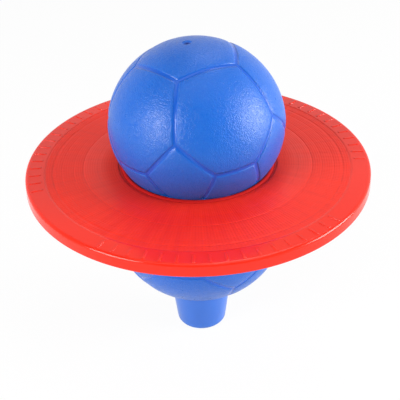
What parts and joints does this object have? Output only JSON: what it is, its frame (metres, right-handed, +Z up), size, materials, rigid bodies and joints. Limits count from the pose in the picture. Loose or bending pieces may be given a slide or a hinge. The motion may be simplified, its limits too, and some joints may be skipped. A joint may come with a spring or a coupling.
{
  "type": "hopper ball",
  "caption": "Waisted inflated ball gripped in the hole of a round standing platform, with a tapered foot under its lower lobe, for bouncing along on.",
  "frame": {"origin": "middle of the foot's underside, where it rests on the ground", "axes": "+Z up along the axis of the ball, platform and foot; -Y towards the viewer of the picture"},
  "size_m": [0.3808, 0.3808, 0.3662],
  "materials": {
    "ball_vinyl": "soft satin PVC with a moulded leather grain",
    "valve_rubber": "matte rubber",
    "platform_plastic": "moulded, smooth rim band and finely ribbed tread",
    "foot_plastic": "smooth satin moulding"
  },
  "bodies": {
    "ball": {"ball": "ball_vinyl", "valve": "valve_rubber"},
    "platform": {"platform": "platform_plastic"},
    "foot": {"foot": "foot_plastic"}
  },
  "joints": [
    {"name": "platform_turn", "type": "hinge", "parent": "ball", "child": "platform", "pos_m": [0, 0, 0.21843], "axis": [0, 0, 1], "continuous": true},
    {"name": "foot_press", "type": "slide", "parent": "ball", "child": "foot", "axis": [0, 0, 1], "range_m": [0, 0.03], "stiffness_N_per_m": 12000, "springref_m": -0.002, "deforming": ["ball"]}
  ]
}
